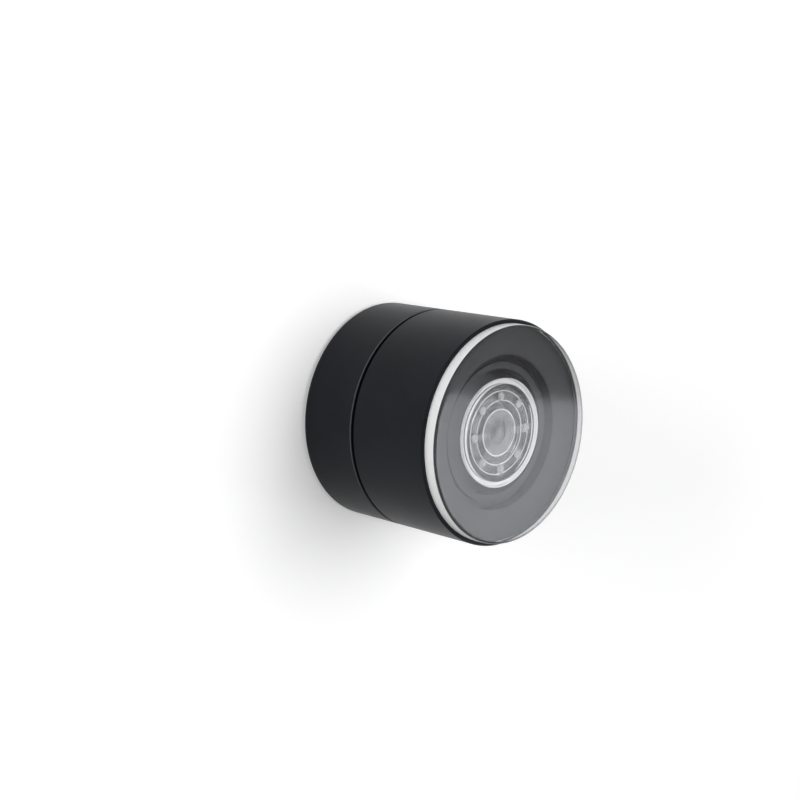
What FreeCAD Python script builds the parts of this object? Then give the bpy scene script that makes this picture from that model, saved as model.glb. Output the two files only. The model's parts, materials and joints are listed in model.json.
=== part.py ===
import FreeCAD, Part
import math
import os
import re
import Sketcher

# A twist-to-lock suction cup phone holder, standing on its phone face.
# +Z runs from the phone face to the suction face, and all lengths are millimetres.

doc = FreeCAD.newDocument("suction_cup_phone_holder")

driving_sizes = {
    # outer form
    "rear_radius": 28.6,
    "front_radius": 29.7,
    "base_height": 18.5,
    "seam_gap": 0.9,
    "seam_depth": 2.4,
    "barrel_length": 25.3,
    "base_wall": 2.0,
    "barrel_wall": 2.0,
    "lip_wall": 0.95,
    "base_edge_round": 1.5,
    "edge_chamfer": 0.3,
    # clearances
    "seat_clearance": 0.1,
    "run_clearance": 0.06,
    "slide_clearance": 0.15,
    "axial_play": 0.05,
    # phone face
    "grip_thickness": 1.2,
    "grip_proud": 0.4,
    "grip_chamfer": 0.4,
    "plate_web": 2.2,
    "plate_wall": 0.9,
    "magnet_width": 4.2,
    "magnet_thickness": 2.4,
    "magnet_count": 16,
    "magnet_gap_angle": 2.5,
    "shield_thickness": 0.8,
    # deck, neck and bearing
    "deck_thickness": 2.0,
    "neck_wall": 2.0,
    "neck_land": 1.2,
    "bearing_thickness": 3.0,
    "washer_thickness": 0.8,
    "clip_thickness": 1.2,
    "clip_depth": 0.9,
    "clip_reach": 1.2,
    "clip_opening_angle": 30.0,
    # housing screws and their bosses
    "screw_count": 3,
    "screw_radius": 1.25,
    "screw_bite": 6.0,
    "head_radius": 2.2,
    "head_height": 1.4,
    "boss_wall": 1.2,
    "boss_gap": 0.6,
    "boss_blend": 0.4,
    "boss_cap": 1.0,
    "thread_clearance": 0.05,
    # cam sleeve and plunger
    "twist_angle": 90.0,
    "draw_travel": 3.0,
    "cam_count": 3,
    "rod_radius": 8.0,
    "rod_clearance": 0.3,
    "sleeve_wall": 2.4,
    "sleeve_flange": 2.0,
    "sleeve_flange_rim": 2.0,
    "sleeve_gap": 0.6,
    "ear_rim": 0.6,
    "pin_radius": 1.5,
    "pin_depth": 3.6,
    "pin_setback": 0.3,
    "pin_fit": 0.02,
    "slot_land": 1.4,
    "slot_relief": 0.15,
    "follower_end": 3.5,
    "hex_relief": 0.5,
    "core_grip": 4.5,
    "core_screw_radius": 1.5,
    "core_screw_bite": 3.5,
    "core_head_radius": 2.7,
    "core_head_height": 1.8,
    "core_washer_radius": 3.2,
    "core_washer_thickness": 0.5,
    # cup and clear core
    "pad_proud": 3.2,
    "pad_seat_depth": 2.3,
    "pad_chamfer": 0.5,
    "pad_dish": 0.15,
    "rim_flat": 4.0,
    "boss_length": 1.8,
    "boss_draft": 0.1,
    "gel_clearance": 0.05,
    "core_rise": 0.2,
    "core_side": 1.2,
    "core_flange": 1.4,
    "core_overhang": 4.55,
    "hub_radius": 8.3,
    "hub_wall": 2.0,
    "hub_reach": 4.2,
    "pilot_wall": 1.45,
    "pilot_length": 3.6,
    "window_radius": 1.2,
    "window_gap": 0.1,
    "window_count": 8,
    # support plate behind the cup
    "support_flange": 2.0,
    "support_skin": 1.8,
    "trough_width": 1.8,
    "trough_depth": 4.0,
    "collar_width": 1.8,
    "collar_drop": 2.2,
    "cup_gap": 2.45,
    "web_thickness": 2.6,
    "web_gap": 0.4,
}

places = {
    # heights, from the phone face up
    "deck_bottom": "base_height - deck_thickness",
    "barrel_bottom": "base_height + seam_gap",
    "bearing_top": "barrel_bottom + bearing_thickness",
    "clip_bottom": "bearing_top + axial_play + washer_thickness",
    "clip_top": "clip_bottom + clip_thickness",
    "neck_top": "clip_top + axial_play + neck_land",
    "lip_height": "barrel_bottom + barrel_length",
    "face_height": "lip_height + pad_proud",
    "seat_height": "lip_height - pad_seat_depth",
    "shoulder_height": "seat_height - support_flange",
    "boss_bottom": "seat_height - boss_length",
    "core_top": "seat_height + core_rise",
    "core_underside": "core_top - core_flange",
    "pilot_bottom": "core_underside - pilot_length",
    "spigot_top": "core_underside - seat_clearance",
    "hub_bottom": "boss_bottom - hub_reach",
    "trough_floor": "seat_height - trough_depth",
    "collar_top": "seat_height - collar_drop",
    "web_top": "hub_bottom - draw_travel - web_gap",
    "web_bottom": "web_top - web_thickness",
    "sleeve_top": "web_bottom - sleeve_gap",
    "slot_half": "pin_radius + slide_clearance",
    "pin_height": "sleeve_top - slot_land - slot_half",
    "post_bottom": "pin_height - follower_end",
    "screw_seat": "hub_bottom - core_grip",
    "core_screw_top": "pilot_bottom + core_screw_bite",
    "flange_bottom": "deck_bottom - sleeve_flange",
    "groove_top": "grip_thickness + magnet_thickness + shield_thickness + seat_clearance",
    "plate_top": "groove_top + plate_wall",
    "plate_floor": "grip_thickness + plate_web",
    # radii, from the outer cone in, from the hub out and from the rod out
    "slope": "(front_radius - rear_radius) / (lip_height - grip_proud)",
    "seam_rear_radius": "rear_radius + slope * (base_height - grip_proud)",
    "seam_front_radius": "rear_radius + slope * (barrel_bottom - grip_proud)",
    "bearing_inside": "rear_radius + slope * (bearing_top - grip_proud) - barrel_wall",
    "shoulder_inside": "rear_radius + slope * (shoulder_height - grip_proud) - barrel_wall",
    "shell_bore": "rear_radius - base_wall",
    "plate_radius": "shell_bore - seat_clearance",
    "magnet_outside": "plate_radius - plate_wall - seat_clearance",
    "magnet_inside": "magnet_outside - magnet_width",
    "channel_inside": "magnet_inside - seat_clearance",
    "channel_hub": "channel_inside - plate_wall",
    "lip_bore": "front_radius - lip_wall",
    "pad_radius": "lip_bore - seat_clearance",
    "core_radius": "hub_radius + core_overhang",
    "window_circle": "hub_radius + window_gap + window_radius",
    "socket_radius": "hub_radius - hub_wall",
    "spigot_radius": "socket_radius - seat_clearance",
    "pilot_bore": "core_screw_radius + thread_clearance",
    "pilot_radius": "pilot_bore + pilot_wall",
    "cup_end": "core_radius + core_side",
    "cup_root": "cup_end + boss_draft",
    "well_radius": "cup_root + cup_gap",
    "collar_outside": "well_radius + collar_width",
    "recess_radius": "collar_outside + trough_width",
    "sleeve_bore": "rod_radius + rod_clearance",
    "sleeve_radius": "sleeve_bore + sleeve_wall",
    "boss_radius": "screw_radius + boss_wall",
    "sleeve_screw_circle": "sleeve_radius + boss_gap + boss_radius",
    "neck_bore": "sleeve_screw_circle + boss_radius - boss_blend",
    "neck_radius": "neck_bore + neck_wall",
    "face_screw_circle": "channel_hub - boss_gap - boss_radius",
    "column_circle": "min(bearing_inside; shoulder_inside) - boss_gap - boss_radius",
    "hex_reach": "rod_radius - hex_relief",
    "hex_hole_reach": "hex_reach + slide_clearance / cos(30 deg)",
    "post_counterbore": "core_washer_radius + seat_clearance",
}


# spreadsheet of driving sizes
sheet = doc.addObject("Spreadsheet::Sheet", "Sizes")
for row, (alias, number) in enumerate(driving_sizes.items(), start=1):
    sheet.set(f"A{row}", alias)
    sheet.set(f"B{row}", str(number))
    sheet.setAlias(f"B{row}", alias)
doc.recompute()


def bound(text):
    # writes a formula in terms of the sheet's cells
    def swap(match):
        word = match.group(0)
        if word in driving_sizes:
            return "Sizes." + word
        if word in places:
            return "(" + bound(places[word]) + ")"
        return word
    return re.sub(r"[a-z_]+", swap, text)


def number_of(text):
    return float(sheet.evalExpression(bound(text)))


def origin_part(body, role):
    return next(item for item in body.Origin.OriginFeatures if item.Role == role)


def new_body(label):
    body = doc.addObject("PartDesign::Body", label)
    body.Label = label
    body.Placement = FreeCAD.Placement()
    return body


def new_sketch(body, name, role, offset="0", turn=None):
    sketch = body.newObject("Sketcher::SketchObject", name)
    sketch.AttachmentSupport = [(origin_part(body, role), "")]
    sketch.MapMode = "FlatFace"
    if turn:
        spin = FreeCAD.Rotation(FreeCAD.Vector(0, 1, 0), number_of(turn))
        sketch.AttachmentOffset = FreeCAD.Placement(FreeCAD.Vector(), spin)
        sketch.setExpression("AttachmentOffset.Rotation.Angle", bound(turn))
    if offset != "0":
        sketch.setExpression("AttachmentOffset.Base.z", bound(offset))
    return sketch


def hold_point(sketch, geometry, point, across, up):
    # ties a point's place to formulas, with a zero held on the sketch's own axis
    for kind, axis, text in (("DistanceX", -2, across), ("DistanceY", -1, up)):
        if text == "0":
            sketch.addConstraint(Sketcher.Constraint("PointOnObject", geometry, point, axis))
            continue
        rule = Sketcher.Constraint(kind, -1, 1, geometry, point, number_of(text))
        index = sketch.addConstraint(rule)
        sketch.setExpression(f"Constraints[{index}]", bound(text))


def outline(body, name, points, role="XZ_Plane", offset="0"):
    # a closed outline of straight sides through formula points
    sketch = new_sketch(body, name, role, offset)
    corners = [FreeCAD.Vector(number_of(across), number_of(up), 0) for across, up in points]
    count = len(corners)
    for index in range(count):
        side = Part.LineSegment(corners[index], corners[(index + 1) % count])
        sketch.addGeometry(side)
    for index in range(count):
        join = Sketcher.Constraint("Coincident", index, 2, (index + 1) % count, 1)
        sketch.addConstraint(join)
    for index, (across, up) in enumerate(points):
        hold_point(sketch, index, 1, across, up)
    return sketch


def circle(body, name, across, up, radius, role="XY_Plane", offset="0", turn=None):
    sketch = new_sketch(body, name, role, offset, turn)
    middle = FreeCAD.Vector(number_of(across), number_of(up), 0)
    sketch.addGeometry(Part.Circle(middle, FreeCAD.Vector(0, 0, 1), number_of(radius)))
    hold_point(sketch, 0, 3, across, up)
    index = sketch.addConstraint(Sketcher.Constraint("Radius", 0, number_of(radius)))
    sketch.setExpression(f"Constraints[{index}]", bound(radius))
    return sketch


def hexagon(body, name, reach, height):
    # six corners at one distance from the axis
    half_flat = f"{reach} * sqrt(3) / 2"
    corners = [
        (reach, "0"),
        (f"{reach} / 2", half_flat),
        (f"-{reach} / 2", half_flat),
        (f"-{reach}", "0"),
        (f"-{reach} / 2", f"-{half_flat}"),
        (f"{reach} / 2", f"-{half_flat}"),
    ]
    return outline(body, name, corners, role="XY_Plane", offset=height)


def revolve(body, name, sketch, angle="360"):
    feature = body.newObject("PartDesign::Revolution", name)
    feature.Profile = sketch
    feature.ReferenceAxis = (sketch, ["V_Axis"])
    feature.setExpression("Angle", bound(angle))
    body.Tip = feature
    return feature


def turned(body, name, points, angle="360"):
    # a solid of revolution about +Z from (radius, height) corners
    return revolve(body, name, outline(body, name + "_profile", points), angle)


def ring(body, name, inside, outside, bottom, top, angle="360"):
    corners = [(inside, bottom), (outside, bottom), (outside, top), (inside, top)]
    return turned(body, name, corners, angle)


def pad(body, name, sketch, length, backwards=False):
    feature = body.newObject("PartDesign::Pad", name)
    feature.Profile = sketch
    feature.setExpression("Length", bound(length))
    feature.Reversed = backwards
    body.Tip = feature
    return feature


def pocket(body, name, sketch, length, backwards=False):
    # a cut that has to take material away
    doc.recompute()
    before = body.Tip.Shape.Volume
    feature = body.newObject("PartDesign::Pocket", name)
    feature.Profile = sketch
    feature.setExpression("Length", bound(length))
    feature.Reversed = backwards
    body.Tip = feature
    doc.recompute()
    if not feature.Shape.Volume < before:
        raise RuntimeError(f"{body.Label}: {name} cuts nothing")
    return feature


def spread(body, name, features, count):
    pattern = body.newObject("PartDesign::PolarPattern", name)
    pattern.Originals = features
    pattern.Axis = (origin_part(body, "Z_Axis"), [""])
    pattern.Angle = 360
    pattern.setExpression("Occurrences", bound(count))
    body.Tip = pattern
    doc.recompute()
    return pattern


def soften_edges(body, name, circles, kind, size):
    # a Fillet or a Chamfer on the circular edges at the given (radius, height) places
    doc.recompute()
    base = body.Tip
    wanted = [(number_of(radius), number_of(height)) for radius, height in circles]
    names = []
    for index, edge in enumerate(base.Shape.Edges, start=1):
        if edge.Degenerated or not isinstance(edge.Curve, Part.Circle):
            continue
        place = (edge.Curve.Radius, edge.Curve.Center.z)
        if any(math.dist(place, goal) < 1e-4 for goal in wanted):
            names.append(f"Edge{index}")
    if len(names) < len(wanted):
        raise RuntimeError(f"{body.Label}: {name} found {len(names)} of {len(wanted)} edges")
    feature = body.newObject("PartDesign::" + kind, name)
    feature.Base = (base, names)
    feature.setExpression("Radius" if kind == "Fillet" else "Size", bound(size))
    body.Tip = feature
    return feature


def make_screws(label, spot, head_bottom, shank_top):
    # pan head screws pointing up, spread round the axis
    body = new_body(label)
    shank_bottom = f"{head_bottom} + head_height"
    head = pad(body, "head", circle(body, "head_outline", spot, "0", "head_radius", offset=head_bottom),
               "head_height")
    shank_outline = circle(body, "shank_outline", spot, "0", "screw_radius", offset=shank_bottom)
    shank = pad(body, "shank", shank_outline, f"{shank_top} - ({shank_bottom})")
    spread(body, "screws", [head, shank], "screw_count")
    return body


def make_base_shell():
    body = new_body("base_shell")
    groove_radius = "neck_radius - clip_depth"
    turned(body, "shell", [
        ("shell_bore", "grip_proud"),
        ("rear_radius", "grip_proud"),
        ("seam_rear_radius", "base_height"),
        ("neck_radius", "base_height"),
        ("neck_radius", "clip_bottom - axial_play"),
        (groove_radius, "clip_bottom - axial_play"),
        (groove_radius, "clip_top + axial_play"),
        ("neck_radius", "clip_top + axial_play"),
        ("neck_radius", "neck_top"),
        ("neck_bore", "neck_top"),
        ("neck_bore", "base_height"),
        ("sleeve_radius + seat_clearance", "base_height"),
        ("sleeve_radius + seat_clearance", "deck_bottom"),
        ("shell_bore", "deck_bottom"),
    ])
    soften_edges(body, "rear_edge", [("rear_radius", "grip_proud")], "Fillet", "base_edge_round")
    soften_edges(body, "seam_edge", [("seam_rear_radius", "base_height")], "Chamfer", "edge_chamfer")

    # upper bosses take the cam sleeve's screws
    boss_height = "screw_bite - deck_thickness + boss_cap"
    boss_outline = circle(body, "boss_outline", "sleeve_screw_circle", "0", "boss_radius",
                          offset="deck_bottom")
    boss = pad(body, "boss", boss_outline, f"deck_thickness + {boss_height}")
    spread(body, "bosses", [boss], "screw_count")
    boss_hole = circle(body, "boss_hole_outline", "sleeve_screw_circle", "0",
                       "screw_radius + thread_clearance", offset="deck_bottom")
    hole = pocket(body, "boss_hole", boss_hole, "screw_bite", backwards=True)
    spread(body, "boss_holes", [hole], "screw_count")

    # lower columns take the face plate's screws
    column_outline = circle(body, "column_outline", "-face_screw_circle", "0", "boss_radius",
                            offset="plate_floor")
    column = pad(body, "column", column_outline, "deck_bottom - plate_floor + deck_thickness / 2")
    spread(body, "columns", [column], "screw_count")
    column_hole = circle(body, "column_hole_outline", "-face_screw_circle", "0",
                         "screw_radius + thread_clearance", offset="plate_floor")
    hole = pocket(body, "column_hole", column_hole, "screw_bite", backwards=True)
    spread(body, "column_holes", [hole], "screw_count")
    return body


def make_face_plate():
    body = new_body("face_plate")
    groove_outside = "magnet_outside + seat_clearance"
    turned(body, "plate", [
        ("0", "grip_thickness"),
        ("channel_inside", "grip_thickness"),
        ("channel_inside", "groove_top"),
        (groove_outside, "groove_top"),
        (groove_outside, "grip_thickness"),
        ("plate_radius", "grip_thickness"),
        ("plate_radius", "plate_top"),
        ("channel_hub", "plate_top"),
        ("channel_hub", "plate_floor"),
        ("0", "plate_floor"),
    ])
    head_outline = circle(body, "head_seat_outline", "-face_screw_circle", "0",
                          "head_radius + seat_clearance", offset="grip_thickness")
    head_seat = pocket(body, "head_seat", head_outline, "head_height", backwards=True)
    hole_outline = circle(body, "screw_hole_outline", "-face_screw_circle", "0",
                          "screw_radius + seat_clearance", offset="grip_thickness")
    hole = pocket(body, "screw_hole", hole_outline, "plate_web", backwards=True)
    spread(body, "screw_holes", [head_seat, hole], "screw_count")
    return body


def make_grip_pad():
    body = new_body("grip_pad")
    radius = "shell_bore - seat_clearance"
    turned(body, "disc", [
        ("0", "0"),
        (radius, "0"),
        (radius, "grip_thickness"),
        ("0", "grip_thickness"),
    ])
    soften_edges(body, "face_edge", [(radius, "0")], "Chamfer", "grip_chamfer")
    return body


def make_magnets():
    body = new_body("magnet_segments")
    magnet_top = "grip_thickness + magnet_thickness"
    span = "360 / magnet_count - magnet_gap_angle"
    magnet = ring(body, "magnet", "magnet_inside", "magnet_outside", "grip_thickness", magnet_top, span)
    spread(body, "magnets", [magnet], "magnet_count")
    return body


def make_shield_ring():
    body = new_body("shield_ring")
    bottom = "grip_thickness + magnet_thickness"
    ring(body, "ring", "magnet_inside", "magnet_outside", bottom, f"{bottom} + shield_thickness")
    return body


def make_cam_sleeve():
    body = new_body("cam_sleeve")
    flange_radius = "sleeve_radius + sleeve_flange_rim"
    turned(body, "sleeve", [
        ("sleeve_bore", "flange_bottom"),
        (flange_radius, "flange_bottom"),
        (flange_radius, "deck_bottom"),
        ("sleeve_radius", "deck_bottom"),
        ("sleeve_radius", "sleeve_top"),
        ("sleeve_bore", "sleeve_top"),
    ])
    ear_outline = circle(body, "ear_outline", "sleeve_screw_circle", "0", "head_radius + ear_rim",
                         offset="flange_bottom")
    ear = pad(body, "ear", ear_outline, "sleeve_flange")
    spread(body, "ears", [ear], "screw_count")
    hole_outline = circle(body, "ear_hole_outline", "sleeve_screw_circle", "0",
                          "screw_radius + seat_clearance", offset="flange_bottom")
    hole = pocket(body, "ear_hole", hole_outline, "sleeve_flange", backwards=True)
    spread(body, "ear_holes", [hole], "screw_count")

    # each slot falls by the draw travel over the twist, with a round hole at both ends
    whole = body.Tip.Shape.Volume
    slot_outline = outline(body, "slot_outline", [
        ("sleeve_bore - sleeve_wall / 2", "pin_height - slot_half"),
        ("sleeve_radius + sleeve_wall / 2", "pin_height - slot_half"),
        ("sleeve_radius + sleeve_wall / 2", "pin_height + slot_half"),
        ("sleeve_bore - sleeve_wall / 2", "pin_height + slot_half"),
    ])
    slot = body.newObject("PartDesign::SubtractiveHelix", "slot")
    slot.Profile = slot_outline
    slot.ReferenceAxis = (slot_outline, ["V_Axis"])
    slot.Mode = "height-turns-angle"
    slot.Reversed = True
    slot.setExpression("Height", bound("draw_travel"))
    slot.setExpression("Turns", bound("twist_angle / 360"))
    body.Tip = slot
    doc.recompute()
    if not slot.Shape.Volume < whole:
        raise RuntimeError("cam_sleeve: the slot cuts nothing")
    spread(body, "slots", [slot], "cam_count")
    end_radius = "slot_half + slot_relief"
    open_end = circle(body, "open_end_outline", "0", "pin_height", end_radius, role="YZ_Plane")
    first = pocket(body, "open_end", open_end, "sleeve_radius + sleeve_wall", backwards=True)
    locked_end = circle(body, "locked_end_outline", "0", "pin_height - draw_travel", end_radius,
                        role="YZ_Plane", turn="-twist_angle")
    second = pocket(body, "locked_end", locked_end, "sleeve_radius + sleeve_wall", backwards=True)
    spread(body, "slot_ends", [first, second], "cam_count")
    return body


def make_washers_and_clip():
    inside = "neck_radius + seat_clearance"
    rear = new_body("thrust_washer_rear")
    ring(rear, "washer", inside, "seam_rear_radius - seam_depth", "base_height", "barrel_bottom - axial_play")
    front = new_body("thrust_washer_front")
    ring(front, "washer", inside, "neck_radius + clip_reach", "bearing_top + axial_play", "clip_bottom")
    clip = new_body("retaining_clip")
    ring(clip, "clip", "neck_radius - clip_depth + axial_play", "neck_radius + clip_reach",
         "clip_bottom", "clip_top", "360 - clip_opening_angle")
    return [rear, front, clip]


def make_barrel():
    body = new_body("barrel")
    bearing_bore = "neck_radius + run_clearance"
    turned(body, "shell", [
        (bearing_bore, "barrel_bottom"),
        ("seam_front_radius", "barrel_bottom"),
        ("front_radius", "lip_height"),
        ("lip_bore", "lip_height"),
        ("lip_bore", "shoulder_height"),
        ("shoulder_inside", "shoulder_height"),
        ("bearing_inside", "bearing_top"),
        (bearing_bore, "bearing_top"),
    ])
    edges = [("seam_front_radius", "barrel_bottom"), ("front_radius", "lip_height")]
    soften_edges(body, "outer_edges", edges, "Chamfer", "edge_chamfer")
    head_outline = circle(body, "head_seat_outline", "column_circle", "0",
                          "head_radius + seat_clearance", offset="barrel_bottom")
    head_seat = pocket(body, "head_seat", head_outline, "head_height + axial_play", backwards=True)
    hole_outline = circle(body, "screw_hole_outline", "column_circle", "0",
                          "screw_radius + seat_clearance", offset="barrel_bottom")
    hole = pocket(body, "screw_hole", hole_outline, "bearing_thickness", backwards=True)
    spread(body, "screw_holes", [head_seat, hole], "screw_count")
    return body


def make_support_plate():
    body = new_body("support_plate")
    skin_radius = "recess_radius + support_skin"
    skin_floor = "trough_floor - support_skin"
    turned(body, "plate", [
        ("0", "web_bottom"),
        ("collar_outside", "web_bottom"),
        ("collar_outside", skin_floor),
        (skin_radius, skin_floor),
        (skin_radius, "shoulder_height"),
        ("pad_radius", "shoulder_height"),
        ("pad_radius", "seat_height"),
        ("recess_radius", "seat_height"),
        ("recess_radius", "trough_floor"),
        ("collar_outside", "trough_floor"),
        ("collar_outside", "collar_top"),
        ("well_radius", "collar_top"),
        ("well_radius", "web_top"),
        ("0", "web_top"),
    ])
    guide = hexagon(body, "guide_outline", "hex_hole_reach", "web_bottom")
    pocket(body, "guide", guide, "web_thickness", backwards=True)
    column_outline = circle(body, "column_outline", "column_circle", "0", "boss_radius",
                            offset="bearing_top")
    column = pad(body, "column", column_outline, "shoulder_height - bearing_top + support_flange / 2")
    spread(body, "columns", [column], "screw_count")
    hole_outline = circle(body, "column_hole_outline", "column_circle", "0",
                          "screw_radius + thread_clearance", offset="bearing_top")
    hole = pocket(body, "column_hole", hole_outline, "screw_bite", backwards=True)
    spread(body, "column_holes", [hole], "screw_count")
    return body


def make_suction_pad():
    body = new_body("suction_pad")
    cavity_radius = "core_radius + gel_clearance"
    cavity_bore = "hub_radius + gel_clearance"
    cavity_top = "core_top + gel_clearance"
    cavity_floor = "core_underside - gel_clearance"
    dish_edge = "pad_radius - rim_flat"
    corners = [
        ("0", cavity_top),
        (cavity_radius, cavity_top),
        (cavity_radius, cavity_floor),
        (cavity_bore, cavity_floor),
        (cavity_bore, "boss_bottom"),
        ("cup_end", "boss_bottom"),
        ("cup_root", "seat_height"),
        ("pad_radius", "seat_height"),
        ("pad_radius", "face_height"),
        (dish_edge, "face_height"),
        ("0", "face_height - pad_dish"),
    ]
    sketch = outline(body, "cup_profile", corners)

    # the shallow dish is an arc in place of the straight side that ends on the axis
    dish_side = len(corners) - 2
    rise = number_of("pad_dish")
    reach = number_of(dish_edge)
    bend = f"(({dish_edge}) * ({dish_edge}) + pad_dish * pad_dish) / (2 * pad_dish)"
    top = number_of("face_height")
    middle = FreeCAD.Vector(reach / 2, top - rise + reach * reach / 8 / number_of(bend), 0)
    dish = Part.Arc(FreeCAD.Vector(reach, top, 0), middle, FreeCAD.Vector(0, top - rise, 0))
    sketch.toggleConstruction(dish_side)
    arc = sketch.addGeometry(dish)
    sketch.addConstraint(Sketcher.Constraint("Coincident", arc, 2, dish_side, 1))
    sketch.addConstraint(Sketcher.Constraint("Coincident", arc, 1, dish_side, 2))
    radius_rule = sketch.addConstraint(Sketcher.Constraint("Radius", arc, number_of(bend)))
    sketch.setExpression(f"Constraints[{radius_rule}]", bound(bend))
    revolve(body, "cup", sketch)
    soften_edges(body, "face_edge", [("pad_radius", "face_height")], "Chamfer", "pad_chamfer")

    # the soft material also fills the core's windows
    plug_outline = circle(body, "plug_outline", "window_circle", "0", "window_radius - gel_clearance",
                          offset=cavity_floor)
    plug = pad(body, "plug", plug_outline, "core_flange + 2 * gel_clearance")
    spread(body, "plugs", [plug], "window_count")
    return body


def make_pull_core():
    body = new_body("pull_core")
    pilot_top = "core_screw_top + seat_clearance"
    turned(body, "core", [
        ("0", pilot_top),
        ("pilot_bore", pilot_top),
        ("pilot_bore", "pilot_bottom"),
        ("pilot_radius", "pilot_bottom"),
        ("pilot_radius", "core_underside"),
        ("socket_radius", "core_underside"),
        ("socket_radius", "hub_bottom"),
        ("hub_radius", "hub_bottom"),
        ("hub_radius", "core_underside"),
        ("core_radius", "core_underside"),
        ("core_radius", "core_top"),
        ("0", "core_top"),
    ])
    window_outline = circle(body, "window_outline", "window_circle", "0", "window_radius",
                            offset="core_underside")
    window = pocket(body, "window", window_outline, "core_flange", backwards=True)
    spread(body, "windows", [window], "window_count")
    return body


def make_pull_post():
    body = new_body("pull_post")
    turned(body, "rod", [
        ("0", "post_bottom"),
        ("rod_radius", "post_bottom"),
        ("rod_radius", "sleeve_top"),
        ("0", "sleeve_top"),
    ])
    guide = hexagon(body, "guide_outline", "hex_reach", "sleeve_top")
    pad(body, "guide", guide, "hub_bottom - sleeve_top")
    spigot_outline = circle(body, "spigot_outline", "0", "0", "spigot_radius", offset="hub_bottom")
    pad(body, "spigot", spigot_outline, "spigot_top - hub_bottom")
    pilot_seat_outline = circle(body, "pilot_seat_outline", "0", "0", "pilot_radius + seat_clearance",
                                offset="pilot_bottom - seat_clearance")
    pocket(body, "pilot_seat", pilot_seat_outline, "spigot_top - pilot_bottom + seat_clearance",
           backwards=True)
    seat_outline = circle(body, "screw_seat_outline", "0", "0", "post_counterbore", offset="post_bottom")
    pocket(body, "screw_seat", seat_outline, "screw_seat - post_bottom", backwards=True)
    bore_outline = circle(body, "screw_bore_outline", "0", "0", "core_screw_radius + seat_clearance",
                          offset="post_bottom")
    pocket(body, "screw_bore", bore_outline, "pilot_bottom - post_bottom", backwards=True)
    pin_outline = circle(body, "pin_hole_outline", "0", "pin_height", "pin_radius + pin_fit",
                         role="YZ_Plane", offset="rod_radius - pin_depth")
    hole = pocket(body, "pin_hole", pin_outline, "pin_depth", backwards=True)
    spread(body, "pin_holes", [hole], "cam_count")
    return body


def make_follower_pins():
    body = new_body("follower_pins")
    pin_outline = circle(body, "pin_outline", "0", "pin_height", "pin_radius",
                         role="YZ_Plane", offset="rod_radius - pin_depth")
    pin = pad(body, "pin", pin_outline, "sleeve_radius - pin_setback - (rod_radius - pin_depth)")
    spread(body, "pins", [pin], "cam_count")
    return body


def make_core_screw():
    body = new_body("core_screw")
    head_top = "screw_seat - core_washer_thickness"
    head_bottom = f"{head_top} - core_head_height"
    turned(body, "screw", [
        ("0", head_bottom),
        ("core_head_radius", head_bottom),
        ("core_head_radius", head_top),
        ("core_screw_radius", head_top),
        ("core_screw_radius", "core_screw_top"),
        ("0", "core_screw_top"),
    ])
    return body


def make_core_washer():
    body = new_body("core_washer")
    bottom = "screw_seat - core_washer_thickness"
    ring(body, "washer", "core_screw_radius + seat_clearance", "core_washer_radius", bottom, "screw_seat")
    return body


parts = [
    make_base_shell(),
    make_face_plate(),
    make_screws("face_screws", "-face_screw_circle", "grip_thickness",
                "plate_floor + screw_bite - seat_clearance"),
    make_grip_pad(),
    make_magnets(),
    make_shield_ring(),
    make_cam_sleeve(),
    make_screws("sleeve_screws", "sleeve_screw_circle", "flange_bottom - head_height",
                "deck_bottom + screw_bite - seat_clearance"),
    *make_washers_and_clip(),
    make_barrel(),
    make_support_plate(),
    make_screws("support_screws", "column_circle", "barrel_bottom + axial_play",
                "bearing_top + screw_bite - seat_clearance"),
    make_suction_pad(),
    make_pull_core(),
    make_pull_post(),
    make_follower_pins(),
    make_core_screw(),
    make_core_washer(),
]
doc.recompute()

for item in doc.Objects:
    if "Invalid" in item.State or "Error" in item.State:
        raise RuntimeError(f"{item.Label} ({item.Name}) failed: {item.State}")
for part in parts:
    if part.Shape.isNull() or not part.Shape.isValid():
        raise RuntimeError(f"{part.Label} has no valid shape")

os.makedirs("parts", exist_ok=True)
for part in parts:
    part.Shape.exportStep(f"parts/{part.Label}.step")
    print(f"{part.Label}: {len(part.Shape.Solids)} solids, {part.Shape.Volume:.1f} mm3")
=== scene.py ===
import json
import math

import bmesh
import bpy
from mathutils import Matrix, Quaternion, Vector


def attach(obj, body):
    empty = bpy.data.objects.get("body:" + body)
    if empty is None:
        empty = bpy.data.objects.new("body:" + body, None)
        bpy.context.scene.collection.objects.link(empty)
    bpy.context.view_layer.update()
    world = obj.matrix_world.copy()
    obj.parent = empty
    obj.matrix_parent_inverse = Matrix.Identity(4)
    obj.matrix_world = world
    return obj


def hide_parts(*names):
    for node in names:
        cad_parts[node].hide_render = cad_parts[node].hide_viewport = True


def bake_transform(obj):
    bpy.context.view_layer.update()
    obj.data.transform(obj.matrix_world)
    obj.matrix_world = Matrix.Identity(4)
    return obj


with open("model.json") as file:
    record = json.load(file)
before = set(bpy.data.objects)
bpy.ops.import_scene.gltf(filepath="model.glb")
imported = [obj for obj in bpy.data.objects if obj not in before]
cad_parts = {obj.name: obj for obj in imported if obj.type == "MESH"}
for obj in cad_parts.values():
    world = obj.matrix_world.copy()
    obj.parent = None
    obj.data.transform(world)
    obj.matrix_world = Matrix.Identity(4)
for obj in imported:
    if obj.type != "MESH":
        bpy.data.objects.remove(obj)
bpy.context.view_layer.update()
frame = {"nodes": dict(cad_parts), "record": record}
mm = 0.001
weldDistance = 1e-7  # metres, far below any detail
print("frame loaded:", len(frame["nodes"]), "nodes")


def addObject(name, data):
    item = bpy.data.objects.new(name, data)
    bpy.context.scene.collection.objects.link(item)
    return item


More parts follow.
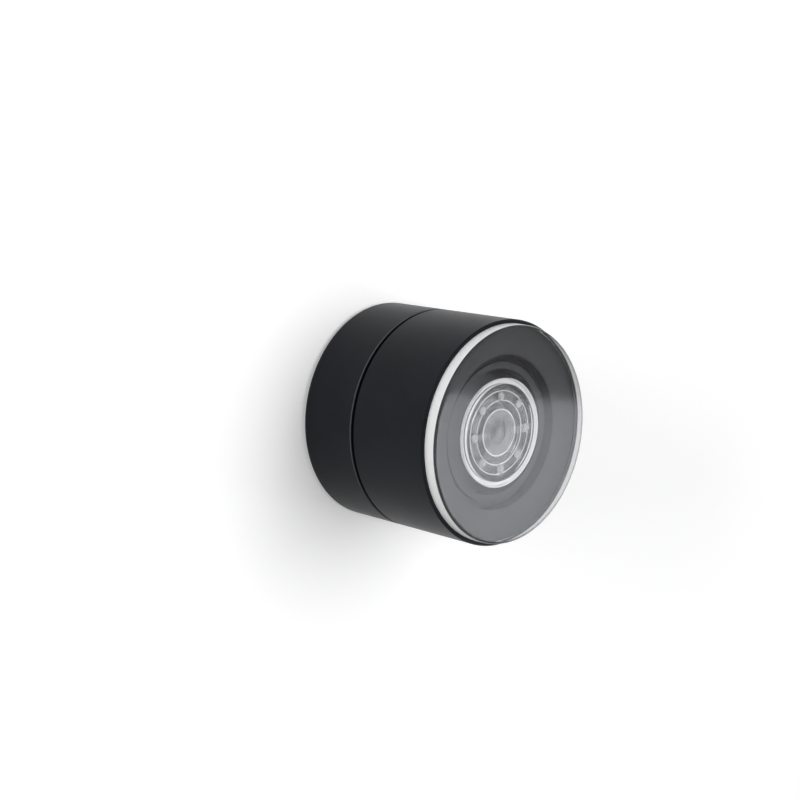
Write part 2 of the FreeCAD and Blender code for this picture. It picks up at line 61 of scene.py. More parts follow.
# camera: turned so that the holder points to the right and towards the viewer
cameraSettings = {
    "place": (-0.593461, 0.174516, 0.585466),
    "right": (0.698093, 0.005081, 0.715989),
    "up": (0.141504, 0.979273, -0.144916),
    "lens": 142.918,
    "sensor": 36.0,
    "nearest": 0.01,
}


def makeCamera(settings):
    lens = bpy.data.cameras.new("productCamera")
    lens.lens = settings["lens"]
    lens.sensor_width = settings["sensor"]
    lens.sensor_fit = "HORIZONTAL"
    lens.clip_start = settings["nearest"]
    camera = addObject("productCamera", lens)
    right = Vector(settings["right"]).normalized()
    back = right.cross(Vector(settings["up"])).normalized()
    up = back.cross(right)
    turn = Matrix((right, up, back)).transposed().to_4x4()
    camera.matrix_world = Matrix.Translation(settings["place"]) @ turn
    bpy.context.scene.camera = camera


makeCamera(cameraSettings)
print("camera set")


# small helpers for node trees
floatSocket = "NodeSocketFloat"
vectorSocket = "NodeSocketVector"
countSocket = "NodeSocketInt"
geometrySocket = "NodeSocketGeometry"
materialSocket = "NodeSocketMaterial"


def addNode(tree, kind, values=None, **fields):
    node = tree.nodes.new(kind)
    for field, value in fields.items():
        setattr(node, field, value)
    for socket, value in (values or {}).items():
        node.inputs[socket].default_value = value
    return node


def link(tree, source, output, target, socket):
    tree.links.new(source.outputs[output], target.inputs[socket])


def bareTree(owner):
    owner.use_nodes = True
    owner.node_tree.nodes.clear()
    return owner.node_tree


def newGroup(name, kind, inputs, outputs):
    # inputs are (name, socket type, default) and outputs are (name, socket type)
    tree = bpy.data.node_groups.new(name, kind)
    for label, socketType, default in inputs:
        socket = tree.interface.new_socket(label, in_out="INPUT", socket_type=socketType)
        if default is not None:
            socket.default_value = default
    for label, socketType in outputs:
        tree.interface.new_socket(label, in_out="OUTPUT", socket_type=socketType)
    return tree, tree.nodes.new("NodeGroupInput"), tree.nodes.new("NodeGroupOutput")


# shared effects
grainSettings = {
    "fine": {"Detail": 3.0, "Roughness": 0.6},
    "slow": {"Detail": 4.0, "Roughness": 0.55},
    "pitShare": 0.45,
}
turningSettings = {
    "rings": {"Distortion": 1.6, "Detail": 2.0, "Detail Scale": 2.5},
    "slow": {"Detail": 5.0, "Roughness": 0.6},
}


def makeMouldGrain(settings):
    # fine spark texture with a slow drift in tone, as on a moulded surface
    tree, start, end = newGroup("mouldGrain", "ShaderNodeTree", [
        ("Vector", vectorSocket, None),
        ("Grain Scale", floatSocket, 4000.0),
        ("Drift Scale", floatSocket, 60.0),
    ], [("Height", floatSocket), ("Drift", floatSocket)])
    fine = addNode(tree, "ShaderNodeTexNoise", settings["fine"])
    pits = addNode(tree, "ShaderNodeTexVoronoi", feature="F1")
    slow = addNode(tree, "ShaderNodeTexNoise", settings["slow"])
    join = addNode(tree, "ShaderNodeMath", {1: settings["pitShare"]}, operation="MULTIPLY_ADD")
    for texture in (fine, pits, slow):
        link(tree, start, "Vector", texture, "Vector")
    link(tree, start, "Grain Scale", fine, "Scale")
    link(tree, start, "Grain Scale", pits, "Scale")
    link(tree, start, "Drift Scale", slow, "Scale")
    link(tree, pits, "Distance", join, 0)
    link(tree, fine, "Fac", join, 2)
    link(tree, join, "Value", end, "Height")
    link(tree, slow, "Fac", end, "Drift")
    return tree


def makeTurningMarks(settings):
    # fine rings about the axis with some unevenness, as on turned or rolled metal
    tree, start, end = newGroup("turningMarks", "ShaderNodeTree", [
        ("Vector", vectorSocket, None),
        ("Ring Scale", floatSocket, 900.0),
        ("Drift Scale", floatSocket, 90.0),
    ], [("Height", floatSocket), ("Drift", floatSocket)])
    rings = addNode(tree, "ShaderNodeTexWave", settings["rings"],
                    wave_type="RINGS", rings_direction="Z")
    slow = addNode(tree, "ShaderNodeTexNoise", settings["slow"])
    link(tree, start, "Vector", rings, "Vector")
    link(tree, start, "Vector", slow, "Vector")
    link(tree, start, "Ring Scale", rings, "Scale")
    link(tree, start, "Drift Scale", slow, "Scale")
    link(tree, rings, "Fac", end, "Height")
    link(tree, slow, "Fac", end, "Drift")
    return tree


def makeAxisBand():
    # a soft-edged band between two radii or two heights, by the parts of the place that count
    tree, start, end = newGroup("axisBand", "ShaderNodeTree", [
        ("Vector", vectorSocket, None),
        ("Counts", vectorSocket, (1.0, 1.0, 0.0)),
        ("Start", floatSocket, 0.0),
        ("Stop", floatSocket, 0.01),
        ("Soft", floatSocket, 0.0003),
    ], [("Mask", floatSocket)])
    keep = addNode(tree, "ShaderNodeVectorMath", operation="MULTIPLY")
    reach = addNode(tree, "ShaderNodeVectorMath", operation="LENGTH")
    band = addNode(tree, "ShaderNodeMath", operation="MULTIPLY")
    link(tree, start, "Vector", keep, 0)
    link(tree, start, "Counts", keep, 1)
    link(tree, keep, "Vector", reach, 0)
    for side, (edge, low, high) in enumerate((("Start", 0.0, 1.0), ("Stop", 1.0, 0.0))):
        step = addNode(tree, "ShaderNodeMapRange", {"To Min": low, "To Max": high},
                       interpolation_type="SMOOTHSTEP")
        for limit, operation in (("From Min", "SUBTRACT"), ("From Max", "ADD")):
            bound = addNode(tree, "ShaderNodeMath", operation=operation)
            link(tree, start, edge, bound, 0)
            link(tree, start, "Soft", bound, 1)
            link(tree, bound, "Value", step, limit)
        link(tree, reach, "Value", step, "Value")
        link(tree, step, "Result", band, side)
    link(tree, band, "Value", end, "Mask")
    return tree


mouldGrain = makeMouldGrain(grainSettings)
turningMarks = makeTurningMarks(turningSettings)
axisBand = makeAxisBand()

noiseSpan = (0.3, 0.7)  # nearly all values of a noise texture lie between these
plasticIor = 1.5


def finishBase(name, group, groupValues):
    # a new material with its shader, its object coordinates and one shared effect
    material = bpy.data.materials.new(name)
    tree = bareTree(material)
    output = addNode(tree, "ShaderNodeOutputMaterial")
    shader = addNode(tree, "ShaderNodeBsdfPrincipled")
    place = addNode(tree, "ShaderNodeTexCoord")
    effect = addNode(tree, "ShaderNodeGroup", groupValues, node_tree=group)
    link(tree, place, "Object", effect, "Vector")
    link(tree, shader, "BSDF", output, "Surface")
    return material, tree, shader, effect


def driveRoughness(tree, source, output, limits, shader):
    span = addNode(tree, "ShaderNodeMapRange", {
        "From Min": noiseSpan[0], "From Max": noiseSpan[1],
        "To Min": limits[0], "To Max": limits[1]})
    link(tree, source, output, span, "Value")
    link(tree, span, "Result", shader, "Roughness")


def driveColour(tree, source, output, colours, shader):
    ramp = addNode(tree, "ShaderNodeValToRGB")
    for stop, position, colour in zip(ramp.color_ramp.elements, noiseSpan, colours):
        stop.position = position
        stop.color = (*colour, 1.0)
    link(tree, source, output, ramp, "Fac")
    link(tree, ramp, "Color", shader, "Base Color")


def driveBump(tree, source, output, settings, shader):
    bump = addNode(tree, "ShaderNodeBump", {
        "Strength": settings["bump"], "Distance": settings["depth"]})
    link(tree, source, output, bump, "Height")
    link(tree, bump, "Normal", shader, "Normal")


def makePlastic(name, settings):
    material, tree, shader, grain = finishBase(name, mouldGrain, {
        "Grain Scale": settings["grainScale"], "Drift Scale": settings["driftScale"]})
    shader.inputs["IOR"].default_value = plasticIor
    shader.inputs["Specular IOR Level"].default_value = settings["specular"]
    driveColour(tree, grain, "Drift", (settings["dark"], settings["light"]), shader)
    driveRoughness(tree, grain, "Drift", settings["roughness"], shader)
    driveBump(tree, grain, "Height", settings, shader)
    return material


def makeMetal(name, settings):
    material, tree, shader, marks = finishBase(name, turningMarks, {
        "Ring Scale": settings["ringScale"], "Drift Scale": settings["driftScale"]})
    shader.inputs["Metallic"].default_value = 1.0
    driveColour(tree, marks, "Drift", (settings["dark"], settings["light"]), shader)
    driveRoughness(tree, marks, "Drift", settings["roughness"], shader)
    driveBump(tree, marks, "Height", settings, shader)
    return material


def makeClear(name, settings):
    # a clear finish has no fine grain, only a slow unevenness
    material, tree, shader, grain = finishBase(name, mouldGrain, {
        "Drift Scale": settings["driftScale"]})
    shader.inputs["Base Color"].default_value = (*settings["tint"], 1.0)
    shader.inputs["IOR"].default_value = settings["ior"]
    shader.inputs["Transmission Weight"].default_value = settings["clear"]
    driveRoughness(tree, grain, "Drift", settings["roughness"], shader)
    driveBump(tree, grain, "Drift", settings, shader)
    return material


def addBands(material, settings):
    # bands of another colour over a finish, in millimetres from the axis or the floor
    tree = material.node_tree
    shader = next(node for node in tree.nodes if node.type == "BSDF_PRINCIPLED")
    place = addNode(tree, "ShaderNodeTexCoord")
    colour = shader.inputs["Base Color"].links[0].from_socket
    for start, stop in settings["bands"]:
        band = addNode(tree, "ShaderNodeGroup", {
            "Counts": settings["counts"], "Start": start * mm, "Stop": stop * mm,
            "Soft": settings["soft"] * mm}, node_tree=axisBand)
        blend = addNode(tree, "ShaderNodeMixRGB", {"Color2": (*settings["colour"], 1.0)})
        link(tree, place, "Object", band, "Vector")
        link(tree, band, "Mask", blend, "Fac")
        tree.links.new(colour, blend.inputs["Color1"])
        colour = blend.outputs["Color"]
    tree.links.new(colour, shader.inputs["Base Color"])


finishes = {
    "shell_black": makePlastic("shellSatin", {
        "dark": (0.0055, 0.0065, 0.0085), "light": (0.0085, 0.0098, 0.0125),
        "roughness": (0.34, 0.41), "specular": 0.10,
        "grainScale": 5200.0, "driftScale": 70.0, "bump": 0.10, "depth": 0.00005}),
    "plate_black": makePlastic("plateMatt", {
        "dark": (0.010, 0.010, 0.011), "light": (0.016, 0.016, 0.017),
        "roughness": (0.48, 0.58), "specular": 0.45,
        "grainScale": 4200.0, "driftScale": 60.0, "bump": 0.16, "depth": 0.00006}),
    "grip_rubber": makePlastic("gripSilicone", {
        "dark": (0.016, 0.016, 0.017), "light": (0.026, 0.026, 0.027),
        "roughness": (0.62, 0.78), "specular": 0.35,
        "grainScale": 3000.0, "driftScale": 45.0, "bump": 0.22, "depth": 0.00008}),
    "slide_grey": makePlastic("slideAcetal", {
        "dark": (0.075, 0.075, 0.076), "light": (0.10, 0.10, 0.10),
        "roughness": (0.40, 0.50), "specular": 0.2,
        "grainScale": 3600.0, "driftScale": 80.0, "bump": 0.08, "depth": 0.00004}),
    "washer_black": makePlastic("washerSlick", {
        "dark": (0.012, 0.012, 0.012), "light": (0.020, 0.020, 0.020),
        "roughness": (0.30, 0.42), "specular": 0.5,
        "grainScale": 3800.0, "driftScale": 110.0, "bump": 0.08, "depth": 0.00004}),
    "support_dark": makePlastic("supportMould", {
        "dark": (0.033, 0.034, 0.036), "light": (0.044, 0.045, 0.048),
        "roughness": (0.44, 0.54), "specular": 0.05,
        "grainScale": 3400.0, "driftScale": 75.0, "bump": 0.12, "depth": 0.00005}),
    "magnet_nickel": makeMetal("magnetNickel", {
        "dark": (0.55, 0.53, 0.49), "light": (0.68, 0.66, 0.61), "roughness": (0.18, 0.30),
        "ringScale": 500.0, "driftScale": 160.0, "bump": 0.04, "depth": 0.00002}),
    "steel": makeMetal("zincSteel", {
        "dark": (0.48, 0.49, 0.51), "light": (0.62, 0.63, 0.65), "roughness": (0.26, 0.40),
        "ringScale": 1400.0, "driftScale": 200.0, "bump": 0.07, "depth": 0.00002}),
    "screw_black": makeMetal("blackenedSteel", {
        "dark": (0.070, 0.070, 0.074), "light": (0.11, 0.11, 0.115), "roughness": (0.38, 0.50),
        "ringScale": 1400.0, "driftScale": 200.0, "bump": 0.07, "depth": 0.00002}),
    "cup_clear": makeClear("cupSilicone", {
        "tint": (0.985, 0.985, 0.985), "ior": 1.30, "clear": 1.0, "roughness": (0.04, 0.055),
        "driftScale": 42.0, "bump": 0.005, "depth": 0.0001}),
    "cup_bond": makeClear("cupBondedFace", {
        "tint": (0.985, 0.985, 0.985), "ior": 1.10, "clear": 1.0, "roughness": (0.06, 0.10),
        "driftScale": 80.0, "bump": 0.02, "depth": 0.0002}),
    "cup_frost": makeClear("cupFrostedWall", {
        "tint": (0.96, 0.96, 0.96), "ior": 1.40, "clear": 0.25, "roughness": (0.38, 0.5),
        "driftScale": 120.0, "bump": 0.05, "depth": 0.0002}),
    "edge_line": makeClear("cupMouldEdge", {
        "tint": (0.52, 0.525, 0.53), "ior": 1.35, "clear": 1.0, "roughness": (0.08, 0.14),
        "driftScale": 120.0, "bump": 0.02, "depth": 0.0001}),
    "boss_frost": makeClear("cupFrostedBoss", {
        "tint": (0.72, 0.725, 0.73), "ior": 1.40, "clear": 0.25, "roughness": (0.38, 0.5),
        "driftScale": 120.0, "bump": 0.05, "depth": 0.0002}),
    "plug_haze": makeClear("cupHazyPlug", {
        "tint": (0.92, 0.92, 0.92), "ior": 1.20, "clear": 0.86, "roughness": (0.2, 0.3),
        "driftScale": 120.0, "bump": 0.05, "depth": 0.0002}),
    "ring_haze": makeClear("coreHazyRing", {
        "tint": (0.92, 0.92, 0.92), "ior": 1.35, "clear": 0.55, "roughness": (0.3, 0.4),
        "driftScale": 150.0, "bump": 0.05, "depth": 0.0002}),
    "core_clear": makeClear("coreAcrylic", {
        "tint": (0.975, 0.98, 0.98), "ior": 1.35, "clear": 1.0, "roughness": (0.06, 0.12),
        "driftScale": 90.0, "bump": 0.03, "depth": 0.0002}),
}
# painted shade: darker rings on the plate behind the cup, in place of the shade that falls in
# its recesses
plateShadeRings = {
    "counts": (1.0, 1.0, 0.0), "bands": ((14.2, 16.6), (18.4, 20.5)), "soft": 0.35,
    "colour": (0.006, 0.006, 0.007)}
# painted highlight: a lighter line on the base along the seam, in place of the light that its
# edge catches
seamHighlightLine = {
    "counts": (0.0, 0.0, 1.0), "bands": ((18.2, 18.42),), "soft": 0.05,
    "colour": (0.075, 0.078, 0.083)}
addBands(finishes["support_dark"], plateShadeRings)
addBands(finishes["shell_black"], seamHighlightLine)
print("finishes made:", len(finishes))


def dressNodes():
    # every solid of the frame takes the finish of its own slot
    for row in frame["record"]["subparts"]:
        mesh = frame["nodes"][row["node"]].data
        mesh.materials.clear()
        mesh.materials.append(finishes[row["material_slot"]])


dressNodes()
print("frame dressed")


# outlines for turned pieces
def roundedOutline(corners, steps):
    # corners are (radius, height, rounding) in millimetres, open at both ends
    points = []
    last = len(corners) - 1
    for index, (across, up, rounding) in enumerate(corners):
        here = Vector((across, up))
        if rounding == 0 or index in (0, last):
            points.append(here)
            continue
        before = (Vector(corners[index - 1][:2]) - here).normalized()
        after = (Vector(corners[index + 1][:2]) - here).normalized()
        half = before.angle(after) / 2
        reach = rounding / math.tan(half)
        middle = here + (before + after).normalized() * (rounding / math.sin(half))
        first = here + before * reach - middle
        second = here + after * reach - middle
        sweep = first.angle_signed(second)
        for step in range(steps + 1):
            points.append(middle + first @ Matrix.Rotation(sweep * step / steps, 2))
    return points


def makeTurnedTree():
    # sweeps an outline in the XZ plane once about the Z axis
    tree, start, end = newGroup("turnedForm", "GeometryNodeTree", [
        ("Outline", geometrySocket, None),
        ("Segments", countSocket, 128),
        ("Guide Radius", floatSocket, 0.01),
        ("Finish", materialSocket, None),
    ], [("Piece", geometrySocket)])
    place = addNode(tree, "GeometryNodeInputPosition")
    split = addNode(tree, "ShaderNodeSeparateXYZ")
    shift = addNode(tree, "ShaderNodeMath", operation="SUBTRACT")
    flip = addNode(tree, "ShaderNodeMath", {1: -1.0}, operation="MULTIPLY")
    flat = addNode(tree, "ShaderNodeCombineXYZ")
    lay = addNode(tree, "GeometryNodeSetPosition")
    profile = addNode(tree, "GeometryNodeMeshToCurve")
    guide = addNode(tree, "GeometryNodeCurvePrimitiveCircle")
    upright = addNode(tree, "GeometryNodeSetCurveNormal", mode="Z_UP")
    sweep = addNode(tree, "GeometryNodeCurveToMesh")
    weld = addNode(tree, "GeometryNodeMergeByDistance", {"Distance": weldDistance})
    smooth = addNode(tree, "GeometryNodeSetShadeSmooth")
    realize = addNode(tree, "GeometryNodeRealizeInstances")
    finish = addNode(tree, "GeometryNodeSetMaterial")
    link(tree, place, "Position", split, "Vector")
    link(tree, split, "X", shift, 0)
    link(tree, start, "Guide Radius", shift, 1)
    link(tree, split, "Z", flip, 0)
    link(tree, shift, "Value", flat, "X")
    link(tree, flip, "Value", flat, "Y")
    link(tree, start, "Outline", lay, "Geometry")
    link(tree, flat, "Vector", lay, "Position")
    link(tree, lay, "Geometry", profile, "Mesh")
    link(tree, start, "Segments", guide, "Resolution")
    link(tree, start, "Guide Radius", guide, "Radius")
    link(tree, guide, "Curve", upright, "Curve")
    link(tree, upright, "Curve", sweep, "Curve")
    link(tree, profile, "Curve", sweep, "Profile Curve")
    link(tree, sweep, "Mesh", weld, "Geometry")
    link(tree, weld, "Geometry", smooth, "Geometry")
    link(tree, smooth, "Geometry", realize, "Geometry")
    link(tree, realize, "Geometry", finish, "Geometry")
    link(tree, start, "Finish", finish, "Material")
    link(tree, finish, "Geometry", end, "Piece")
    return tree


def makeStudTree(name, cutting):
    # a ring of round tapered studs, kept as they are or cut out of a flange as windows
    tree, start, end = newGroup(name, "GeometryNodeTree", [
        ("Flange", geometrySocket, None),
        ("Count", countSocket, 8),
        ("Sides", countSocket, 40),
        ("Circle Radius", floatSocket, 0.0096),
        ("Bottom Radius", floatSocket, 0.0012),
        ("Top Radius", floatSocket, 0.0012),
        ("Bottom Height", floatSocket, 0.041),
        ("Depth", floatSocket, 0.004),
        ("Finish", materialSocket, None),
    ], [("Piece", geometrySocket)])
    spots = addNode(tree, "GeometryNodeMeshCircle")
    height = addNode(tree, "ShaderNodeCombineXYZ")
    lift = addNode(tree, "GeometryNodeTransform")
    stud = addNode(tree, "GeometryNodeMeshCone")
    repeat = addNode(tree, "GeometryNodeInstanceOnPoints")
    realize = addNode(tree, "GeometryNodeRealizeInstances")
    finish = addNode(tree, "GeometryNodeSetMaterial")
    link(tree, start, "Count", spots, "Vertices")
    link(tree, start, "Circle Radius", spots, "Radius")
    link(tree, start, "Bottom Height", height, "Z")
    link(tree, spots, "Mesh", lift, "Geometry")
    link(tree, height, "Vector", lift, "Translation")
    link(tree, start, "Sides", stud, "Vertices")
    link(tree, start, "Bottom Radius", stud, "Radius Bottom")
    link(tree, start, "Top Radius", stud, "Radius Top")
    link(tree, start, "Depth", stud, "Depth")
    link(tree, lift, "Geometry", repeat, "Points")
    link(tree, stud, "Mesh", repeat, "Instance")
    link(tree, repeat, "Instances", realize, "Geometry")
    if cutting:
        cut = addNode(tree, "GeometryNodeMeshBoolean", operation="DIFFERENCE", solver="EXACT")
        link(tree, start, "Flange", cut, "Mesh 1")
        link(tree, realize, "Geometry", cut, "Mesh 2")
        link(tree, cut, "Mesh", finish, "Geometry")
    else:
        link(tree, realize, "Geometry", finish, "Geometry")
    link(tree, start, "Finish", finish, "Material")
    link(tree, finish, "Geometry", end, "Piece")
    return tree


turnedTree = makeTurnedTree()
windowTree = makeStudTree("flangeWindows", True)
plugTree = makeStudTree("windowPlugs", False)
guideRadius = 10.0  # millimetres, of the circle that an outline is swept along


def runTree(piece, tree, values):
    # applies a node tree to a piece and leaves a plain mesh behind
    modifier = piece.modifiers.new(tree.name, "NODES")
    modifier.node_group = tree
    for item in tree.interface.items_tree:
        if item.in_out == "INPUT" and item.name in values:
            modifier[item.identifier] = values[item.name]
    bpy.context.view_layer.update()
    graph = bpy.context.evaluated_depsgraph_get()
    mesh = bpy.data.meshes.new_from_object(piece.evaluated_get(graph))
    piece.modifiers.remove(modifier)
    piece.data = mesh


def closeShell(piece, sharpAngle):
    # merges doubles and turns every face outwards
    shell = bmesh.new()
    shell.from_mesh(piece.data)
    bmesh.ops.remove_doubles(shell, verts=shell.verts, dist=weldDistance)
    bmesh.ops.recalc_face_normals(shell, faces=shell.faces)
    if shell.calc_volume(signed=True) < 0:
        bmesh.ops.reverse_faces(shell, faces=shell.faces)
    openEdges = sum(not edge.is_manifold for edge in shell.edges)
    shell.to_mesh(piece.data)
    shell.free()
    piece.data.shade_smooth()
    piece.data.set_sharp_from_angle(angle=math.radians(sharpAngle))
    print(piece.name, "faces", len(piece.data.polygons), "open edges", openEdges)


def makeTurned(name, points, segments, finish):
    outline = bpy.data.meshes.new(name)
    corners = [(point.x * mm, 0.0, point.y * mm) for point in points]
    edges = [(index, index + 1) for index in range(len(corners) - 1)]
    outline.from_pydata(corners, edges, [])
    piece = addObject(name, outline)
    runTree(piece, turnedTree, {
        "Segments": segments, "Guide Radius": guideRadius * mm, "Finish": finish})
    return piece


def paintFaces(piece, names, nameAt):
    # the first finish is on the piece already, and nameAt picks one by radius and height
    for name in names[1:]:
        piece.data.materials.append(finishes[name])
    for face in piece.data.polygons:
        name = nameAt(face.center.xy.length / mm, face.center.z / mm)
        face.material_index = names.index(name)


# clear cup: soft rounded edges, a shallow dish and the boss that holds the core
cupSettings = {
    "radius": 28.65, "seat": 42.43, "lip": 44.7, "lipOverlap": 0.1, "face": 47.9,
    "edgeRound": 0.6, "footRound": 0.3,
    "dishRadius": 27.7, "dishDepth": 0.185, "dishSteps": 32,
    "bossRoot": 14.15, "bossEnd": 14.05, "bossBottom": 40.6, "bossRound": 0.25,
    "cavityRadius": 12.9, "cavityTop": 42.65, "cavityFloor": 41.15, "cavityBore": 8.35,
    "cavityRound": 0.12, "coreGap": 0.05,
    "segments": 224, "roundSteps": 6, "underSteps": 8, "sharpAngle": 60,
    # where one finish goes over to the next
    "wallDepth": 0.1, "wettedRise": 0.4, "bossSpread": 0.3, "edgeShare": 0.6,
    "seatMargin": 0.01, "radiusMargin": 0.05,
}


def makeCup(settings):
    s = settings

    def rise(radius):
        return s["dishDepth"] * (radius / s["dishRadius"]) ** 2

    def nameAt(radius, height):
        # the free side wall and the boss keep the mould's frosted skin, and what lies on
        # other pieces is wetted
        edgeStart = s["face"] - s["edgeRound"] * s["edgeShare"]
        inWall = radius > s["radius"] - s["wallDepth"]
        bossInside = s["cavityRadius"] - s["radiusMargin"]
        bossOutside = s["bossRoot"] + s["bossSpread"]
        if inWall and s["lip"] - s["lipOverlap"] < height < edgeStart:
            return "cup_frost"
        if bossInside < radius < bossOutside and height < s["seat"] + s["seatMargin"]:
            return "boss_frost"
        if height < s["seat"] + s["wettedRise"] and not inWall:
            return "cup_bond"
        if radius > s["dishRadius"] + s["radiusMargin"] and height > edgeStart:
            return "edge_line"
        return "cup_clear"

    # the underside follows the dish, so the disc has one thickness
    span = s["dishRadius"] - s["bossRoot"]
    under = [s["bossRoot"] + span * step / s["underSteps"]
             for step in range(1, s["underSteps"] + 1)]
    foot = s["seat"] - rise(s["bossRoot"])
    corners = [
        (0.0, s["cavityTop"], 0),
        (s["cavityRadius"], s["cavityTop"], s["cavityRound"]),
        (s["cavityRadius"], s["cavityFloor"], s["cavityRound"]),
        (s["cavityBore"], s["cavityFloor"], s["cavityRound"]),
        (s["cavityBore"], s["bossBottom"], s["cavityRound"]),
        (s["cavityRadius"], s["bossBottom"], 0),
        (s["bossEnd"], s["bossBottom"], s["bossRound"]),
        (s["bossRoot"], s["seat"], s["bossRound"]),
        *[(radius, foot + rise(radius), 0) for radius in under],
        (s["radius"], foot + rise(s["dishRadius"]), s["footRound"]),
        (s["radius"], s["lip"] - s["lipOverlap"], 0),
        (s["radius"], s["face"], s["edgeRound"]),
        (s["dishRadius"], s["face"], 0),
    ]
    points = roundedOutline(corners, s["roundSteps"])
    for step in range(1, s["dishSteps"] + 1):
        radius = s["dishRadius"] * (1 - step / s["dishSteps"])
        points.append(Vector((radius, s["face"] - s["dishDepth"] + rise(radius))))
    cup = makeTurned("clear_cup", points, s["segments"], finishes["cup_clear"])
    closeShell(cup, s["sharpAngle"])
    names = ["cup_clear", "cup_frost", "cup_bond", "boss_frost", "edge_line"]
    paintFaces(cup, names, nameAt)
    cup.visible_shadow = False
    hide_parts("suction_pad")
    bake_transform(cup)


makeCup(cupSettings)


# clear core: a flange with round windows on a hub
coreSettings = {
    "flangeRadius": 12.85, "top": 42.6, "underside": 41.2, "hubRadius": 8.3, "hubBottom": 36.4,
    "socketRadius": 6.3, "pilotRadius": 3.0, "pilotBottom": 37.6, "pilotBore": 1.55,
    "pilotTop": 41.2, "edgeRound": 0.25, "innerRound": 0.1,
    "segments": 160, "roundSteps": 5, "sharpAngle": 60, "cutSharpAngle": 40,
    "windowCount": 8, "windowRadius": 1.2, "windowCircle": 9.6, "windowOvershoot": 0.5,
    "socketRing": (5.95, 6.3), "hubRing": (8.3, 8.6), "windowRing": (10.85, 11.1),
    # how far a ring's faces may lie from its radii and from the underside
    "ringInside": 0.05, "ringOutside": 0.02, "ringRise": 0.12,
}


def makeCore(settings):
    s = settings
    rings = (s["socketRing"], s["hubRing"], s["windowRing"])

    def nameAt(radius, height):
        # narrow witness rings on the underside keep the frosted skin of the mould
        level = abs(height - s["underside"]) < s["ringRise"]
        onRing = any(inner - s["ringInside"] < radius < outer + s["ringOutside"]
                     for inner, outer in rings)
        return "ring_haze" if level and onRing else "core_clear"

    corners = [
        (0.0, s["pilotTop"], 0),
        (s["pilotBore"], s["pilotTop"], s["innerRound"]),
        (s["pilotBore"], s["pilotBottom"], s["innerRound"]),
        (s["pilotRadius"], s["pilotBottom"], s["innerRound"]),
        (s["pilotRadius"], s["underside"], s["innerRound"]),
        (s["socketRing"][0], s["underside"], 0),
        (s["socketRadius"], s["underside"], s["innerRound"]),
        (s["socketRadius"], s["hubBottom"], s["edgeRound"]),
        (s["hubRadius"], s["hubBottom"], s["edgeRound"]),
        (s["hubRadius"], s["underside"], s["innerRound"]),
        (s["hubRing"][1], s["underside"], 0),
        *[(radius, s["underside"], 0) for radius in s["windowRing"]],
        (s["flangeRadius"], s["underside"], s["edgeRound"]),
        (s["flangeRadius"], s["top"], s["edgeRound"]),
        (0.0, s["top"], 0),
    ]
    points = roundedOutline(corners, s["roundSteps"])
    core = makeTurned("clear_core", points, s["segments"], finishes["core_clear"])
    closeShell(core, s["sharpAngle"])
    runTree(core, windowTree, {
        "Count": s["windowCount"],
        "Circle Radius": s["windowCircle"] * mm,
        "Bottom Radius": s["windowRadius"] * mm,
        "Top Radius": s["windowRadius"] * mm,
        "Bottom Height": (s["underside"] - s["windowOvershoot"]) * mm,
        "Depth": (s["top"] - s["underside"] + 2 * s["windowOvershoot"]) * mm,
        "Finish": finishes["core_clear"],
    })
    closeShell(core, s["cutSharpAngle"])
    paintFaces(core, ["core_clear", "ring_haze"], nameAt)
    core.visible_shadow = False
    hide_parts("pull_core")
    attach(core, "plunger")


makeCore(coreSettings)


# plugs of the cup that fill the windows of the core
plugSettings = {
    "count": coreSettings["windowCount"], "circle": coreSettings["windowCircle"],
    "bottomRadius": 1.17, "topRadius": 1.10, "bottom": 41.22, "top": 42.58, "sharpAngle": 40,
}


def makePlugs(settings):
    s = settings
    plugs = addObject("cup_plugs", bpy.data.meshes.new("cup_plugs"))
    runTree(plugs, plugTree, {
        "Count": s["count"],
        "Circle Radius": s["circle"] * mm,
        "Bottom Radius": s["bottomRadius"] * mm,
        "Top Radius": s["topRadius"] * mm,
        "Bottom Height": s["bottom"] * mm,
        "Depth": (s["top"] - s["bottom"]) * mm,
        "Finish": finishes["plug_haze"],
    })
    closeShell(plugs, s["sharpAngle"])
    plugs.visible_shadow = False
    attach(plugs, "plunger")


makePlugs(plugSettings)
print("clear pieces made")


# floor, lamps and world
stageSettings = {
    "floorHalf": 3.0, "floorDrop": 0.00005, "floorColour": (0.93, 0.93, 0.93), "lift": 0.24,
    "whiteFrom": (0.12, 0.30), "ambient": 0.06, "lampDistance": 0.95, "lampAim": (0, 0, 0.03),
}
# the clear face mirrors the face panel, and its top looks past the edge of that panel
lampSettings = {
    "facePanel": {
        "toward": (0.7177, -0.2654, 0.6438), "roll": 20, "size": (0.140, 0.16),
        "colour": (0.93, 0.95, 1.0), "power": 0.40, "mirrored": True},
    "keyPanel": {
        "toward": (0.25, 0.20, 0.95), "roll": 0, "size": (0.90, 0.90),
        "colour": (1.0, 1.0, 1.0), "power": 8.3, "mirrored": False},
    "sidePanel": {
        "toward": (-0.92, 0.27, 0.28), "roll": 0, "size": (0.40, 0.15),
        "colour": (1.0, 1.0, 1.0), "power": 5.3, "mirrored": False},
}


def seenByEye(tree):
    # 1 for camera, glossy and transmission rays, otherwise 0
    path = addNode(tree, "ShaderNodeLightPath")
    first = addNode(tree, "ShaderNodeMath", operation="MAXIMUM")
    second = addNode(tree, "ShaderNodeMath", operation="MAXIMUM")
    link(tree, path, "Is Camera Ray", first, 0)
    link(tree, path, "Is Glossy Ray", first, 1)
    link(tree, first, "Value", second, 0)
    link(tree, path, "Is Transmission Ray", second, 1)
    return second


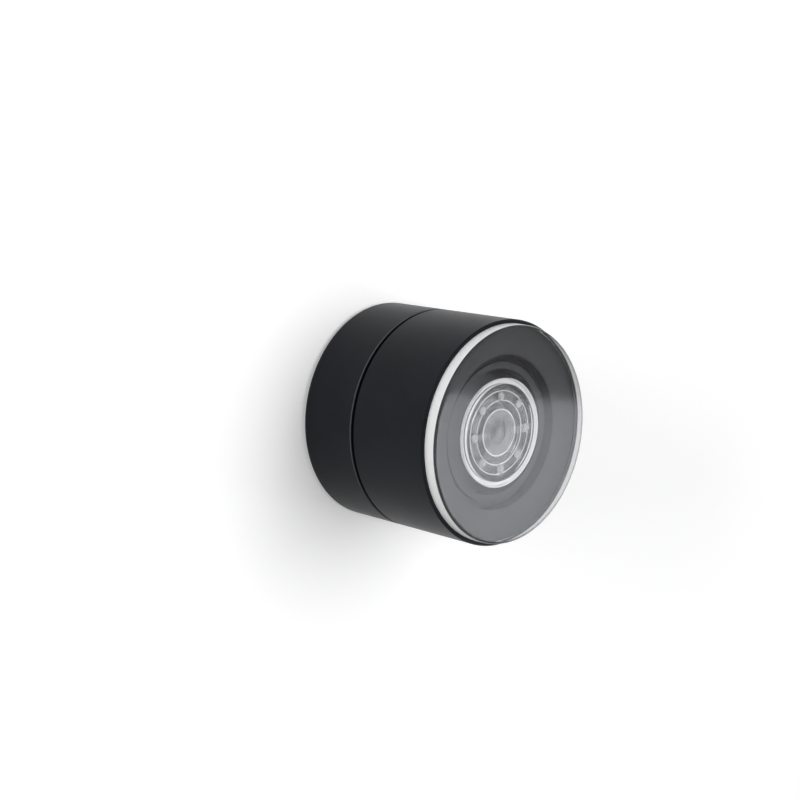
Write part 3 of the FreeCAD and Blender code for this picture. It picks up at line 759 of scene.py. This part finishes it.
def makeFloor(settings):
    half, low = settings["floorHalf"], -settings["floorDrop"]
    corners = [(x * half, y * half, low) for x, y in ((-1, -1), (1, -1), (1, 1), (-1, 1))]
    mesh = bpy.data.meshes.new("floor")
    mesh.from_pydata(corners, [], [(0, 1, 2, 3)])
    floor = addObject("floor", mesh)
    material = bpy.data.materials.new("paleFloor")
    tree = bareTree(material)
    output = addNode(tree, "ShaderNodeOutputMaterial")
    matt = addNode(tree, "ShaderNodeBsdfDiffuse", {"Color": (*settings["floorColour"], 1.0)})
    glow = addNode(tree, "ShaderNodeEmission")
    both = addNode(tree, "ShaderNodeAddShader")
    level = addNode(tree, "ShaderNodeMath", {1: settings["lift"]}, operation="MULTIPLY")
    # away from the holder and its shadow the floor goes over to plain white
    white = addNode(tree, "ShaderNodeEmission")
    place = addNode(tree, "ShaderNodeTexCoord")
    reach = addNode(tree, "ShaderNodeVectorMath", operation="LENGTH")
    near, far = settings["whiteFrom"]
    away = addNode(tree, "ShaderNodeMapRange", {"From Min": near, "From Max": far},
                   interpolation_type="SMOOTHSTEP")
    share = addNode(tree, "ShaderNodeMath", operation="MULTIPLY")
    surface = addNode(tree, "ShaderNodeMixShader")
    seen = seenByEye(tree)
    link(tree, seen, "Value", level, 0)
    link(tree, level, "Value", glow, "Strength")
    link(tree, matt, "BSDF", both, 0)
    link(tree, glow, "Emission", both, 1)
    link(tree, place, "Object", reach, 0)
    link(tree, reach, "Value", away, "Value")
    link(tree, away, "Result", share, 0)
    link(tree, seen, "Value", share, 1)
    link(tree, share, "Value", surface, "Fac")
    link(tree, both, "Shader", surface, 1)
    link(tree, white, "Emission", surface, 2)
    link(tree, surface, "Shader", output, "Surface")
    mesh.materials.append(material)


def makeWorld(settings):
    world = bpy.data.worlds.new("studio")
    bpy.context.scene.world = world
    tree = bareTree(world)
    output = addNode(tree, "ShaderNodeOutputWorld")
    sky = addNode(tree, "ShaderNodeBackground")
    level = addNode(tree, "ShaderNodeMapRange", {"To Min": settings["ambient"], "To Max": 1.0})
    link(tree, seenByEye(tree), "Value", level, "Value")
    link(tree, level, "Result", sky, "Strength")
    link(tree, sky, "Background", output, "Surface")


def makeLamp(name, settings, stage):
    lamp = bpy.data.lights.new(name, "AREA")
    lamp.shape = "RECTANGLE"
    lamp.size, lamp.size_y = settings["size"]
    lamp.energy = settings["power"]
    lamp.color = settings["colour"]
    toward = Vector(settings["toward"]).normalized()
    roll = Quaternion((0, 0, 1), math.radians(settings["roll"]))
    turn = toward.to_track_quat("Z", "Y") @ roll
    place = toward * stage["lampDistance"] + Vector(stage["lampAim"])
    holder = addObject(name, lamp)
    holder.matrix_world = Matrix.Translation(place) @ turn.to_matrix().to_4x4()
    # gloss and the clear pieces show the white background in place of the other lamps
    holder.visible_glossy = settings["mirrored"]
    holder.visible_transmission = settings["mirrored"]


makeFloor(stageSettings)
makeWorld(stageSettings)
for name, settings in lampSettings.items():
    makeLamp(name, settings, stageSettings)
bpy.context.scene.view_settings.view_transform = "Standard"
print("stage and lamps set")
